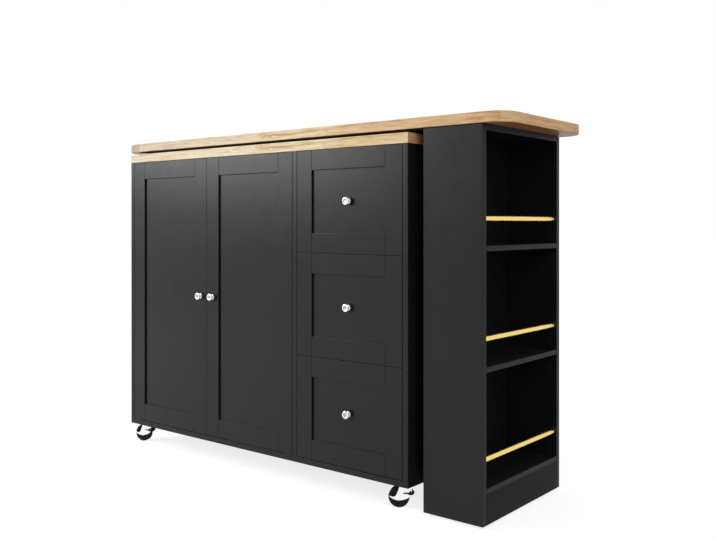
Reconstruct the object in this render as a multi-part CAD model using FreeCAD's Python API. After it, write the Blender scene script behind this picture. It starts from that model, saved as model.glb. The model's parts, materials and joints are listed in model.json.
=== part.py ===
import FreeCAD, Part
import math
import os

# Rolling kitchen island: a cabinet with two doors and three drawers, and a table top with a shelf
# tower under its far end, which swings about a bearing on the cabinet's worktop.
# Millimetres. X runs along the front from the doors to the tower, Y from front to back, Z up.
# The sizes below are measured from the cabinet's left side, its front and the floor. When a
# sub-part is written it moves to the model's origin, under the middle of the whole object.

os.makedirs("parts", exist_ok=True)
V = FreeCAD.Vector

# Boards and general clearances
PANEL = 15.0
BACK_PANEL = 12.0
EASE = 0.8
OVERRUN = 5.0
SNUG = 0.05
SEAT_GAP = 0.3

# Cabinet carcass
CASTER_HEIGHT = 60.0
DOOR_BAY = 665.0
DRAWER_BAY = 335.0
CABINET_DEPTH = 430.0
BODY_HEIGHT = 797.0
WORKTOP = 25.0
TOP_RAIL_WIDTH = 60.0
TOP_RAIL_SETBACK = 20.0

# Doors and drawer fronts
DOOR_COUNT = 2
REVEAL = 1.2
FRONT = 16.0
STILE = 50.0
RAIL = 50.0
RECESS = 5.0
INSET_PANEL = 5.0
GROOVE = 8.0
PIN_FROM_EDGE = 7.5
PIN_FROM_FACE = 4.5
PIN_RADIUS = 2.0
PIVOT_PLATE = 0.8
PIVOT_PLATE_LENGTH = 30.0
PIVOT_PLATE_WIDTH = 9.0
PIVOT_BLOCK_DEPTH = 12.0

# Knobs
KNOB_LENGTH = 14.0
KNOB_HEAD_RADIUS = 10.0
KNOB_BASE_RADIUS = 7.0
KNOB_NECK_RADIUS = 4.5
KNOB_WAIST_SHARE = 0.36

# Shelf in the door bay
SHELF = 15.0
SHELF_HEIGHT = 400.0
SHELF_SETBACK = 25.0
SHELF_SIDE_GAP = 0.8
BRACKET_GAUGE = 2.0
BRACKET_LEG = 14.0
BRACKET_DROP = 20.0
BRACKET_WIDTH = 16.0
BRACKET_INSET = 40.0

# Drawers, the lowest first
DRAWER_NAMES = ("lower", "middle", "upper")
DRAWER_COUNT = len(DRAWER_NAMES)
BOX_SIDE = 12.0
BOX_BOTTOM = 5.0
BOX_BOTTOM_INSET = 8.0
BOX_GROOVE = 5.0
BOX_HEIGHT = 170.0
BOX_BACK_GAP = 52.0
BOX_LIFT = 20.0
RUNNER_SETBACK = 22.0
RUNNER_BACK_GAP = 46.0
RUNNER_SPACE = 12.7
RUNNER_HALF_HEIGHT = 22.5
RUNNER_GAUGE = 1.2
RUNNER_REACH = 9.5
MIDDLE_WEB_FROM_WALL = 2.0

# Table top and the bearing it swings on
SWIVEL_GAP = 10.0
TABLE = 25.0
TABLE_DEPTH = 405.0
TABLE_LEFT_OVERHANG = 66.0
TABLE_RIGHT_OVERHANG = 58.0
TABLE_CORNER_RADIUS = 54.0
TABLE_EDGE = 1.5
PIVOT_FROM_LEFT = 100.0
PIVOT_FROM_FRONT = 200.0
SWIVEL_PLATE_SIDE = 150.0
SWIVEL_PLATE = 2.0
RACE_RADIUS = 40.0

# Shelf tower
TOWER_GAP = 27.0
TOWER_WIDTH = 158.0
TOWER_SETBACK = 22.5
TOWER_BACK_MARGIN = 30.0
TOWER_FLOOR_GAP = 6.0
TOWER_SHELF = 12.0
TOWER_SHELF_COUNT = 2
ROD_RADIUS = 6.5
ROD_INSET = 11.0
ROD_LIFT = 61.0

# Casters
WHEEL_RADIUS = 25.0
TYRE_WIDTH = 21.0
AXLE_RADIUS = 3.0
TRAIL = 21.0
FORK_GAUGE = 2.0
FORK_CLEARANCE = 1.0
CASTER_PLATE_SIDE = 50.0
CASTER_PLATE = 2.0
CASTER_RACE_RADIUS = 15.0
CASTER_RACE = 3.0
CAP_RADIUS = 17.0
CASTER_SIDE_INSET = 33.0
CASTER_FRONT_INSET = 46.0
TOWER_CASTER_INSET = 64.0
PEDAL_WIDTH = 15.0
PEDAL_PIN_RADIUS = 1.5
PEDAL_PIN_FROM_TYRE = 2.0
PEDAL_PIN_ABOVE_AXLE = 12.0
PEDAL_THICKNESS = 4.0
PEDAL_LENGTH = 9.0
PEDAL_DROP = 12.0
SHOE_GAP = 2.0

# Fork plate outline beside the wheel, as shares of the wheel's radius from the axle: the waist,
# the toe's two corners, the cropped belly and the heel
FORK_OUTLINE_SHARES = ((-0.28, 0.24), (-0.92, 0.08), (-0.92, -0.02), (-0.5, -0.33),
                       (0.0, -0.44), (0.5, -0.34), (0.94, -0.06))

# How each caster trails at rest: the angle of its wheel seen from above, from +X
FRONT_LEFT_TRAIL_ANGLE = 198.0
FRONT_RIGHT_TRAIL_ANGLE = 207.0
BACK_TRAIL_ANGLE = 180.0
TOWER_TRAIL_ANGLE = 180.0

# Levels and places worked out from the sizes above
DIVIDER_LEFT = PANEL + DOOR_BAY
DIVIDER_RIGHT = DIVIDER_LEFT + PANEL
RIGHT_PANEL_LEFT = DIVIDER_RIGHT + DRAWER_BAY
CABINET_WIDTH = RIGHT_PANEL_LEFT + PANEL
BODY_TOP = CASTER_HEIGHT + BODY_HEIGHT
FLOOR_TOP = CASTER_HEIGHT + PANEL
BACK_FACE = CABINET_DEPTH - BACK_PANEL
WORKTOP_TOP = BODY_TOP + WORKTOP
TABLE_BOTTOM = WORKTOP_TOP + SWIVEL_GAP
TABLE_TOP = TABLE_BOTTOM + TABLE
TOWER_LEFT = CABINET_WIDTH + TOWER_GAP
TOWER_RIGHT = TOWER_LEFT + TOWER_WIDTH
TOWER_FRONT = TOWER_SETBACK
TOWER_BACK = TOWER_FRONT + TABLE_DEPTH - TOWER_BACK_MARGIN
TOWER_INSIDE = TOWER_LEFT + PANEL
TOWER_FLOOR = FLOOR_TOP + TOWER_SHELF
TOWER_CEILING = TABLE_BOTTOM - PANEL
TABLE_LEFT = -TABLE_LEFT_OVERHANG
TABLE_RIGHT = TOWER_RIGHT + TABLE_RIGHT_OVERHANG
ORIGIN_X = (TABLE_LEFT + TABLE_RIGHT) / 2
ORIGIN_Y = (CABINET_DEPTH - KNOB_LENGTH) / 2


def board(x0, x1, y0, y1, z0, z1):
    """A board with every edge eased."""
    solid = Part.makeBox(x1 - x0, y1 - y0, z1 - z0, V(x0, y0, z0))
    return solid.makeChamfer(EASE, solid.Edges)


def block(x0, x1, y0, y1, z0, z1):
    """A plain block with sharp edges."""
    return Part.makeBox(x1 - x0, y1 - y0, z1 - z0, V(x0, y0, z0))


def faced_board(x0, x1, y0, y1, z0, z1):
    """A board eased round its front face only."""
    solid = block(x0, x1, y0, y1, z0, z1)
    front_edges = [edge for edge in solid.Edges if edge.BoundBox.YMax < (y0 + y1) / 2]
    return solid.makeChamfer(EASE, front_edges)


def rod(radius, start, end):
    """A round bar from one point to another."""
    axis = end.sub(start)
    return Part.makeCylinder(radius, axis.Length, start, axis)


def extruded(outline, y0, y1):
    """A bar along Y with an outline of (x, z) corners."""
    points = [V(x, y0, z) for x, z in outline]
    face = Part.Face(Part.makePolygon(points + points[:1]))
    return face.extrude(V(0, y1 - y0, 0))


def turned(outline):
    """A solid turned about Z from an outline of (radius, height) corners."""
    points = [V(radius, 0, height) for radius, height in outline]
    face = Part.Face(Part.makePolygon(points + points[:1]))
    return face.revolve(V(0, 0, 0), V(0, 0, 1), 360)


def write(name, solids):
    """Write one sub-part's solids about the model's origin."""
    shape = Part.makeCompound(solids) if len(solids) > 1 else solids[0].copy()
    shape.translate(V(-ORIGIN_X, -ORIGIN_Y, 0))
    shape.exportStep("parts/" + name + ".step")


# Carcass

def side_panels():
    left = board(0, PANEL, 0, CABINET_DEPTH, CASTER_HEIGHT, BODY_TOP)
    write("left_side_panel", [left])
    right = board(RIGHT_PANEL_LEFT, CABINET_WIDTH, 0, CABINET_DEPTH, CASTER_HEIGHT, BODY_TOP)
    write("right_side_panel", [right])
    divider = faced_board(DIVIDER_LEFT, DIVIDER_RIGHT, 0, BACK_FACE, FLOOR_TOP, BODY_TOP)
    write("centre_divider", [divider])


def bottom_and_back():
    bottom = faced_board(PANEL, RIGHT_PANEL_LEFT, 0, CABINET_DEPTH, CASTER_HEIGHT, FLOOR_TOP)
    write("bottom_panel", [bottom])
    back = block(PANEL, RIGHT_PANEL_LEFT, BACK_FACE, CABINET_DEPTH, FLOOR_TOP, BODY_TOP)
    write("back_panel", [back])


def top_rails():
    """A flat rail along the front and the back of each bay, under the worktop."""
    solids = []
    for x0, x1 in ((PANEL, DIVIDER_LEFT), (DIVIDER_RIGHT, RIGHT_PANEL_LEFT)):
        for y0 in (TOP_RAIL_SETBACK, BACK_FACE - TOP_RAIL_WIDTH):
            solids.append(block(x0, x1, y0, y0 + TOP_RAIL_WIDTH, BODY_TOP - PANEL, BODY_TOP))
    write("top_rails", solids)


def worktop():
    write("worktop", [board(0, CABINET_WIDTH, 0, CABINET_DEPTH, BODY_TOP, WORKTOP_TOP)])


def inner_shelf():
    """The door bay's loose shelf, and the angle brackets that it lies on."""
    underside = CASTER_HEIGHT + SHELF_HEIGHT
    shelf = faced_board(PANEL + SHELF_SIDE_GAP, DIVIDER_LEFT - SHELF_SIDE_GAP, SHELF_SETBACK,
                        BACK_FACE - SEAT_GAP, underside, underside + SHELF)
    write("inner_shelf", [shelf])
    brackets = []
    for face_x, direction in ((PANEL, 1), (DIVIDER_LEFT, -1)):
        for y0 in (SHELF_SETBACK + BRACKET_INSET, BACK_FACE - BRACKET_INSET - BRACKET_WIDTH):
            gauge = direction * BRACKET_GAUGE
            outline = [(face_x, underside), (face_x + direction * BRACKET_LEG, underside),
                       (face_x + direction * BRACKET_LEG, underside - BRACKET_GAUGE),
                       (face_x + gauge, underside - BRACKET_GAUGE),
                       (face_x + gauge, underside - BRACKET_DROP), (face_x, underside - BRACKET_DROP)]
            brackets.append(extruded(outline, y0, y0 + BRACKET_WIDTH))
    write("shelf_brackets", brackets)


# Doors and drawer fronts

def front_boards(x0, x1, z0, z1):
    """A framed front: left stile, right stile, bottom rail, top rail and the recessed panel."""
    groove_y0 = RECESS
    groove_y1 = RECESS + INSET_PANEL
    inner_x0 = x0 + STILE
    inner_x1 = x1 - STILE
    panel_x0 = inner_x0 - GROOVE
    panel_x1 = inner_x1 + GROOVE
    panel_z0 = z0 + RAIL - GROOVE
    panel_z1 = z1 - RAIL + GROOVE
    slot = block(panel_x0, panel_x1, groove_y0, groove_y1, z0 - OVERRUN, z1 + OVERRUN)
    opening = block(panel_x0 - OVERRUN, panel_x1 + OVERRUN, groove_y0, groove_y1, panel_z0, panel_z1)
    left = faced_board(x0, inner_x0, 0, FRONT, z0, z1).cut(slot)
    right = faced_board(inner_x1, x1, 0, FRONT, z0, z1).cut(slot)
    rails = []
    for rail_z0 in (z0, z1 - RAIL):
        rail = faced_board(inner_x0, inner_x1, 0, FRONT, rail_z0, rail_z0 + RAIL)
        tenons = block(panel_x0, panel_x1, groove_y0, groove_y1, rail_z0, rail_z0 + RAIL)
        rails.append(rail.fuse(tenons).cut(opening))
    panel = block(panel_x0, panel_x1, groove_y0, groove_y1, panel_z0, panel_z1)
    return [left, right] + rails + [panel]


def door_spans():
    """Left and right edges of the two doors."""
    width = (DOOR_BAY - (DOOR_COUNT + 1) * REVEAL) / DOOR_COUNT
    lefts = [PANEL + REVEAL + index * (width + REVEAL) for index in range(DOOR_COUNT)]
    return [(left, left + width) for left in lefts]


def door_pin_places():
    """The X place of each door's pivot pins, near its outer edge."""
    spans = door_spans()
    return [spans[0][0] + PIN_FROM_EDGE, spans[1][1] - PIN_FROM_EDGE]


def knob(x, y_face, z):
    """A round waisted knob with a flared head, standing on a face."""
    outline = [(0, 0), (KNOB_BASE_RADIUS, 0), (KNOB_NECK_RADIUS, KNOB_LENGTH * KNOB_WAIST_SHARE),
               (KNOB_HEAD_RADIUS, KNOB_LENGTH), (0, KNOB_LENGTH)]
    body = turned(outline)
    body.rotate(V(0, 0, 0), V(1, 0, 0), 90)
    body.translate(V(x, y_face, z))
    return body


def pivot_block(pin_x, inward, mouth, direction):
    """A block let into a door's end, which turns on the pin."""
    edge_x = pin_x - inward * (PIN_FROM_EDGE - EASE)
    far_x = edge_x + inward * PIVOT_PLATE_LENGTH
    deep = mouth + direction * PIVOT_BLOCK_DEPTH
    return block(min(edge_x, far_x), max(edge_x, far_x), EASE, EASE + PIVOT_PLATE_WIDTH,
                 min(mouth, deep), max(mouth, deep))


def doors():
    """Two inset doors, with pivot blocks in the outer stiles and knobs on the meeting stiles."""
    z0 = FLOOR_TOP + REVEAL
    z1 = BODY_TOP - REVEAL
    spans = door_spans()
    for index, side in enumerate(("left", "right")):
        x0, x1 = spans[index]
        pin_x = door_pin_places()[index]
        knob_x = (x1 - STILE / 2, x0 + STILE / 2)[index]
        boards = front_boards(x0, x1, z0, z1)
        fittings = [knob(knob_x, 0, (z0 + z1) / 2)]
        bore = rod(PIN_RADIUS + SNUG, V(pin_x, PIN_FROM_FACE, z0 - OVERRUN),
                   V(pin_x, PIN_FROM_FACE, z1 + OVERRUN))
        for mouth, direction in ((z0, 1), (z1, -1)):
            pivot = pivot_block(pin_x, 1 - 2 * index, mouth, direction)
            boards[index] = boards[index].cut(pivot)
            fittings.append(pivot.cut(bore))
        write(side + "_door", boards)
        write(side + "_door_fittings", fittings)


def door_pivot_plates():
    """Small plates with a pin, above and below each door's outer corner."""
    plates = []
    for x, inward in zip(door_pin_places(), (1, -1)):
        edge_x = x - inward * PIN_FROM_EDGE
        far_x = edge_x + inward * PIVOT_PLATE_LENGTH
        for face_z, direction in ((FLOOR_TOP, 1), (BODY_TOP, -1)):
            plate_z = face_z + direction * PIVOT_PLATE
            plate = block(min(edge_x, far_x), max(edge_x, far_x), EASE, EASE + PIVOT_PLATE_WIDTH,
                          min(face_z, plate_z), max(face_z, plate_z))
            door_end = face_z + direction * (REVEAL + PIVOT_BLOCK_DEPTH - SEAT_GAP)
            pin = rod(PIN_RADIUS, V(x, PIN_FROM_FACE, face_z), V(x, PIN_FROM_FACE, door_end))
            plates.append(plate.fuse(pin).removeSplitter())
    write("door_pivot_plates", plates)


# Drawers

def channel(x_web, x_open, z_mid, half, y0, y1):
    """A folded steel channel along Y, with its web at x_web and its flanges reaching to x_open."""
    gauge = RUNNER_GAUGE
    inward = gauge if x_open > x_web else -gauge
    corners = [(x_web, -half), (x_open, -half), (x_open, gauge - half), (x_web + inward, gauge - half),
               (x_web + inward, half - gauge), (x_open, half - gauge), (x_open, half), (x_web, half)]
    return extruded([(x, z_mid + z) for x, z in corners], y0, y1)


def drawer_box(x0, x1, z0):
    """An open box: two sides, front, back, and a bottom held in grooves."""
    z1 = z0 + BOX_HEIGHT
    y0 = FRONT
    y1 = BACK_FACE - BOX_BACK_GAP
    inner_x0 = x0 + BOX_SIDE
    inner_x1 = x1 - BOX_SIDE
    bottom = block(inner_x0 - BOX_GROOVE, inner_x1 + BOX_GROOVE, y0 + BOX_SIDE - BOX_GROOVE,
                   y1 - BOX_SIDE + BOX_GROOVE, z0 + BOX_BOTTOM_INSET, z0 + BOX_BOTTOM_INSET + BOX_BOTTOM)
    left = block(x0, inner_x0, y0, y1, z0, z1).cut(bottom)
    right = block(inner_x1, x1, y0, y1, z0, z1).cut(bottom)
    front = block(inner_x0, inner_x1, y0, y0 + BOX_SIDE, z0, z1).cut(bottom)
    back = block(inner_x0, inner_x1, y1 - BOX_SIDE, y1, z0, z1).cut(bottom)
    return [left, right, front, back, bottom]


def drawers():
    """Three drawers on three-part runners, the lowest first."""
    clear_height = BODY_TOP - FLOOR_TOP - (DRAWER_COUNT + 1) * REVEAL
    height = clear_height / DRAWER_COUNT
    x0 = DIVIDER_RIGHT + REVEAL
    x1 = RIGHT_PANEL_LEFT - REVEAL
    runner_y0 = RUNNER_SETBACK
    runner_y1 = BACK_FACE - RUNNER_BACK_GAP
    middle_half = RUNNER_HALF_HEIGHT - RUNNER_GAUGE - SEAT_GAP
    inner_half = middle_half - RUNNER_GAUGE - SEAT_GAP
    outer_members = []
    for index in range(DRAWER_COUNT):
        name = DRAWER_NAMES[index] + "_drawer"
        z0 = FLOOR_TOP + REVEAL + index * (height + REVEAL)
        z1 = z0 + height
        box_z0 = z0 + BOX_LIFT
        box_x0 = DIVIDER_RIGHT + RUNNER_SPACE
        box_x1 = RIGHT_PANEL_LEFT - RUNNER_SPACE
        runner_z = box_z0 + BOX_HEIGHT / 2
        middle_members = []
        inner_members = []
        for wall, inward in ((DIVIDER_RIGHT, 1), (RIGHT_PANEL_LEFT, -1)):
            outer_open = wall + inward * RUNNER_REACH
            middle_web = wall + inward * MIDDLE_WEB_FROM_WALL
            inner_web = wall + inward * RUNNER_SPACE
            middle_open = middle_web + inward * (RUNNER_REACH - RUNNER_GAUGE)
            inner_open = inner_web - inward * (RUNNER_REACH - RUNNER_GAUGE)
            outer_members.append(channel(wall, outer_open, runner_z, RUNNER_HALF_HEIGHT,
                                         runner_y0, runner_y1))
            middle_members.append(channel(middle_web, middle_open, runner_z, middle_half,
                                          runner_y0, runner_y1))
            inner_members.append(channel(inner_web, inner_open, runner_z, inner_half,
                                         runner_y0, runner_y1))
        write(name + "_front", front_boards(x0, x1, z0, z1))
        write(name + "_box", drawer_box(box_x0, box_x1, box_z0))
        write(name + "_fittings", [knob((x0 + x1) / 2, RECESS, (z0 + z1) / 2)] + inner_members)
        write(name + "_middle_runners", middle_members)
    write("outer_runners", outer_members)


# Table top and bearing

def rounded_slab(x0, x1, y0, y1, z0, z1, radius):
    slab = block(x0, x1, y0, y1, z0, z1)
    uprights = [edge for edge in slab.Edges if edge.BoundBox.ZLength > (z1 - z0) / 2]
    return slab.makeFillet(radius, uprights)


def table_top():
    slab = rounded_slab(TABLE_LEFT, TABLE_RIGHT, TOWER_FRONT, TOWER_FRONT + TABLE_DEPTH,
                        TABLE_BOTTOM, TABLE_TOP, TABLE_CORNER_RADIUS)
    rims = [edge for edge in slab.Edges if edge.BoundBox.ZLength < TABLE / 2]
    write("table_top", [slab.makeChamfer(TABLE_EDGE, rims)])


def swivel_plate(z0, z1):
    half = SWIVEL_PLATE_SIDE / 2
    return block(PIVOT_FROM_LEFT - half, PIVOT_FROM_LEFT + half, PIVOT_FROM_FRONT - half,
                 PIVOT_FROM_FRONT + half, z0, z1)


def swivel_plates():
    """The two halves of the bearing: a base plate with its race, and a plate that turns on it."""
    base_top = WORKTOP_TOP + SWIVEL_PLATE
    plate_bottom = TABLE_BOTTOM - SWIVEL_PLATE
    centre = V(PIVOT_FROM_LEFT, PIVOT_FROM_FRONT, base_top)
    race_height = plate_bottom - SEAT_GAP - base_top
    race = Part.makeCylinder(RACE_RADIUS, race_height, centre)
    write("swivel_base_plate", [swivel_plate(WORKTOP_TOP, base_top).fuse(race)])
    write("swivel_top_plate", [swivel_plate(plate_bottom, TABLE_BOTTOM)])


# Shelf tower

def tower_shelf_levels():
    """Undersides of the shelves that part the tower into equal compartments."""
    clear = TOWER_CEILING - TOWER_FLOOR - TOWER_SHELF_COUNT * TOWER_SHELF
    height = clear / (TOWER_SHELF_COUNT + 1)
    return [TOWER_FLOOR + height + index * (height + TOWER_SHELF) for index in range(TOWER_SHELF_COUNT)]


def rod_levels():
    floors = [TOWER_FLOOR] + [level + TOWER_SHELF for level in tower_shelf_levels()]
    return [floor + ROD_LIFT for floor in floors]


def tower_panels():
    front_inside = TOWER_FRONT + PANEL
    back_inside = TOWER_BACK - PANEL
    rods = [rod(ROD_RADIUS, V(TOWER_RIGHT - ROD_INSET, front_inside, z),
                V(TOWER_RIGHT - ROD_INSET, back_inside, z)) for z in rod_levels()]
    front = board(TOWER_LEFT, TOWER_RIGHT, TOWER_FRONT, front_inside, TOWER_FLOOR_GAP, TABLE_BOTTOM)
    back = board(TOWER_LEFT, TOWER_RIGHT, back_inside, TOWER_BACK, TOWER_FLOOR_GAP, TABLE_BOTTOM)
    inner = block(TOWER_LEFT, TOWER_INSIDE, front_inside, back_inside, TOWER_FLOOR_GAP, TABLE_BOTTOM)
    top = block(TOWER_INSIDE, TOWER_RIGHT, front_inside, back_inside, TOWER_CEILING, TABLE_BOTTOM)
    write("tower_front_panel", [front])
    write("tower_back_panel", [back])
    write("tower_inner_panel", [inner])
    write("tower_top_panel", [top])
    write("tower_rods", rods)
    shelves = [board(TOWER_INSIDE, TOWER_RIGHT, front_inside, back_inside, z, z + TOWER_SHELF)
               for z in [FLOOR_TOP] + tower_shelf_levels()]
    write("tower_shelves", shelves)
    write("tower_caster_board", [block(TOWER_INSIDE, TOWER_RIGHT - PANEL, front_inside, back_inside,
                                       CASTER_HEIGHT, FLOOR_TOP)])
    write("tower_plinth", [board(TOWER_RIGHT - PANEL, TOWER_RIGHT, front_inside, back_inside,
                                 TOWER_FLOOR_GAP, FLOOR_TOP)])


# Casters, made about the swivel axis with the wheel trailing towards -X, then turned and placed

def caster_plate():
    """Square mounting plate with its round race below."""
    half = CASTER_PLATE_SIDE / 2
    plate_z0 = CASTER_HEIGHT - CASTER_PLATE
    race_z0 = plate_z0 - CASTER_RACE
    plate = block(-half, half, -half, half, plate_z0, CASTER_HEIGHT)
    race = rod(CASTER_RACE_RADIUS, V(0, 0, race_z0), V(0, 0, plate_z0))
    return plate.fuse(race)


def fork_side(y0, y1):
    """One side plate of the fork: a boot-shaped sheet, wide over the axle and waisted above it."""
    cap_z = CASTER_HEIGHT - CASTER_PLATE - CASTER_RACE - SEAT_GAP
    outline = [(x_share * WHEEL_RADIUS - TRAIL, z_share * WHEEL_RADIUS + WHEEL_RADIUS)
               for x_share, z_share in FORK_OUTLINE_SHARES]
    return extruded(outline + [(CAP_RADIUS, cap_z), (-CAP_RADIUS, cap_z)], y0, y1)


def caster_fork(with_pedal):
    """Pressed fork: a flat cap under the race, two side plates, the axle and the pedal's pin."""
    inside = TYRE_WIDTH / 2 + FORK_CLEARANCE
    outside = inside + FORK_GAUGE
    cap_top = CASTER_HEIGHT - CASTER_PLATE - CASTER_RACE - SEAT_GAP
    cap_bottom = cap_top - FORK_GAUGE
    cap = block(-CAP_RADIUS, CAP_RADIUS, -outside, outside, cap_bottom, cap_top)
    pieces = [fork_side(-outside, -inside), fork_side(inside, outside)]
    pieces.append(rod(AXLE_RADIUS, V(-TRAIL, -outside, WHEEL_RADIUS), V(-TRAIL, outside, WHEEL_RADIUS)))
    if with_pedal:
        pin_x = WHEEL_RADIUS + PEDAL_PIN_FROM_TYRE - TRAIL
        pin_z = WHEEL_RADIUS + PEDAL_PIN_ABOVE_AXLE
        pieces.append(rod(PEDAL_PIN_RADIUS, V(pin_x, -outside, pin_z), V(pin_x, outside, pin_z)))
    return cap.fuse(pieces).removeSplitter()


def caster_wheel():
    """A wheel with its tyre, bored for the axle."""
    half = TYRE_WIDTH / 2
    bore = AXLE_RADIUS + SNUG
    wheel = turned([(bore, -half), (WHEEL_RADIUS, -half), (WHEEL_RADIUS, half), (bore, half)])
    wheel.rotate(V(0, 0, 0), V(1, 0, 0), 90)
    wheel.translate(V(-TRAIL, 0, WHEEL_RADIUS))
    return wheel


def brake_pedal():
    """A moulded lever: an eye on the fork's cross pin, a shoe facing the tyre and a foot tongue."""
    pin_x = WHEEL_RADIUS + PEDAL_PIN_FROM_TYRE - TRAIL
    pin_z = WHEEL_RADIUS + PEDAL_PIN_ABOVE_AXLE
    half = PEDAL_WIDTH / 2
    eye = PEDAL_PIN_RADIUS + PEDAL_THICKNESS / 2
    shoe_z = pin_z - PEDAL_DROP
    reach = WHEEL_RADIUS + SHOE_GAP
    shoe_x = math.sqrt(reach ** 2 - (shoe_z - WHEEL_RADIUS) ** 2) - TRAIL
    tip_x = pin_x + PEDAL_LENGTH
    tip_z = pin_z - PEDAL_DROP
    corners = [V(pin_x - eye, -half, pin_z + eye), V(pin_x + eye, -half, pin_z + eye),
               V(tip_x, -half, tip_z + PEDAL_THICKNESS), V(tip_x, -half, tip_z),
               V(shoe_x + PEDAL_THICKNESS, -half, tip_z - PEDAL_THICKNESS / 2),
               V(shoe_x, -half, shoe_z)]
    face = Part.Face(Part.makePolygon(corners + corners[:1]))
    lever = face.extrude(V(0, PEDAL_WIDTH, 0))
    bore = rod(PEDAL_PIN_RADIUS + SNUG, V(pin_x, -PEDAL_WIDTH, pin_z), V(pin_x, PEDAL_WIDTH, pin_z))
    sweep = Part.makeCylinder(reach, PEDAL_WIDTH, V(-TRAIL, -half, WHEEL_RADIUS), V(0, 1, 0))
    return lever.cut([bore, sweep])


def placed(solid, x, y, trail_angle):
    """Turn a caster piece so that its wheel trails at the angle, and move its axis to the place."""
    moved = solid.copy()
    moved.rotate(V(0, 0, 0), V(0, 0, 1), trail_angle - 180)
    moved.translate(V(x, y, 0))
    return moved


def caster_places():
    """Name, swivel axis, rest angle and whether it has a brake, for each caster."""
    left = CASTER_SIDE_INSET
    right = CABINET_WIDTH - CASTER_SIDE_INSET
    front = CASTER_FRONT_INSET
    back = CABINET_DEPTH - CASTER_FRONT_INSET
    tower_x = (TOWER_INSIDE + TOWER_RIGHT - PANEL) / 2
    tower_near = TOWER_FRONT + PANEL + TOWER_CASTER_INSET
    tower_far = TOWER_BACK - PANEL - TOWER_CASTER_INSET
    return [("front_left", left, front, FRONT_LEFT_TRAIL_ANGLE, True),
            ("front_right", right, front, FRONT_RIGHT_TRAIL_ANGLE, True),
            ("back_left", left, back, BACK_TRAIL_ANGLE, False),
            ("back_right", right, back, BACK_TRAIL_ANGLE, False),
            ("tower_front", tower_x, tower_near, TOWER_TRAIL_ANGLE, False),
            ("tower_back", tower_x, tower_far, TOWER_TRAIL_ANGLE, False)]


def casters():
    plates = {"cabinet": [], "tower": []}
    for name, x, y, angle, braked in caster_places():
        owner = "tower" if name.startswith("tower") else "cabinet"
        plates[owner].append(placed(caster_plate(), x, y, 180))
        write(name + "_fork", [placed(caster_fork(braked), x, y, angle)])
        write(name + "_wheel", [placed(caster_wheel(), x, y, angle)])
        if braked:
            write(name + "_brake_pedal", [placed(brake_pedal(), x, y, angle)])
    write("cabinet_caster_plates", plates["cabinet"])
    write("tower_caster_plates", plates["tower"])


side_panels()
bottom_and_back()
top_rails()
worktop()
inner_shelf()
doors()
door_pivot_plates()
drawers()
table_top()
swivel_plates()
tower_panels()
casters()
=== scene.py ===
import json
import math

import bmesh
import bpy
from mathutils import Matrix, Vector


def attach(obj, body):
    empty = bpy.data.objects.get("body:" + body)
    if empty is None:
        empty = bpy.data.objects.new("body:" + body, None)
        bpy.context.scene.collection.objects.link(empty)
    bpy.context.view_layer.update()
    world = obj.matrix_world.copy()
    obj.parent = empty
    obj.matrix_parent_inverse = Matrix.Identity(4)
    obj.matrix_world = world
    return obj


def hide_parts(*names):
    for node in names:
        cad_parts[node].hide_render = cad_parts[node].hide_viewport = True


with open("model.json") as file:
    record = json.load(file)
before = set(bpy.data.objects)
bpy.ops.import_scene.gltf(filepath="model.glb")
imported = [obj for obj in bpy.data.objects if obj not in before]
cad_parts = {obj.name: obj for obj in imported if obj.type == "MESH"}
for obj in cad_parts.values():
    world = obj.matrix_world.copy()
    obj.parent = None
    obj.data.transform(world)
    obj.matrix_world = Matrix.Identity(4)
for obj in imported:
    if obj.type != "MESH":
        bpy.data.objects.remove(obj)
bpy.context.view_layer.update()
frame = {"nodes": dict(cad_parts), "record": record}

# Looks of the rolling kitchen island. Pieces are drawn in millimetres from the cabinet's left side,
# its front and the floor, and then moved to the frame, in metres about the object's middle.

MM = 0.001
ORIGIN = Vector((611.0, 208.0, 0.0))
TO_FRAME = Matrix.Scale(MM, 4) @ Matrix.Translation(-ORIGIN)

# Sizes that the pieces share with the solids, in millimetres. Spans run along X, depths along Y
# and levels along Z.

# Cabinet and worktop
BOARD = 15.0
CABINET_SPAN = (0.0, 1045.0)
CABINET_DEPTH = (0.0, 430.0)
CARCASS_LEVELS = (60.0, 857.0)
DIVIDER_SPAN = (680.0, 695.0)
INSIDE_LEFT, INSIDE_RIGHT = CABINET_SPAN[0] + BOARD, CABINET_SPAN[1] - BOARD
FLOOR_TOP = CARCASS_LEVELS[0] + BOARD
BACK_FACE = 418.0
WORKTOP_LEVELS = (857.0, 882.0)

# Framed fronts: how wide and how thick stiles and rails are, and the panel behind their faces
STILE, FRONT = 50.0, 16.0
RECESS, PANEL_THICK = 5.0, 5.0
DOOR_SPANS = {"left_door": (16.2, 347.2), "right_door": (347.8, 678.8)}
DOOR_LEVELS = (76.2, 855.8)
DRAWER_SPAN = (696.2, 1028.8)
DRAWER_LEVELS = {"lower_drawer": (76.2, 335.27), "middle_drawer": (336.47, 595.53),
                 "upper_drawer": (596.73, 855.8)}

# Drawer boxes and their runners
BOX_SPAN = (707.7, 1017.3)
BOX_DEPTH = (16.0, 366.0)
BOX_LIFT, BOX_HEIGHT, BOX_SIDE = 20.0, 170.0, 12.0
BOX_GROOVE, BOX_BOTTOM_LIFT, BOX_BOTTOM = 5.0, 8.0, 5.0
RUNNER_DEPTH = (22.0, 372.0)
RUNNER_GAUGE = 1.2
RUNNER_SCREWS = (50.0, 200.0, 345.0)

# Each runner channel's web and open edge, from the wall, and half its height
OUTER_CHANNEL = (0.0, 9.5, 22.5)
MIDDLE_CHANNEL = (2.0, 10.3, 21.0)
INNER_CHANNEL = (12.7, 4.4, 19.5)

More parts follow.
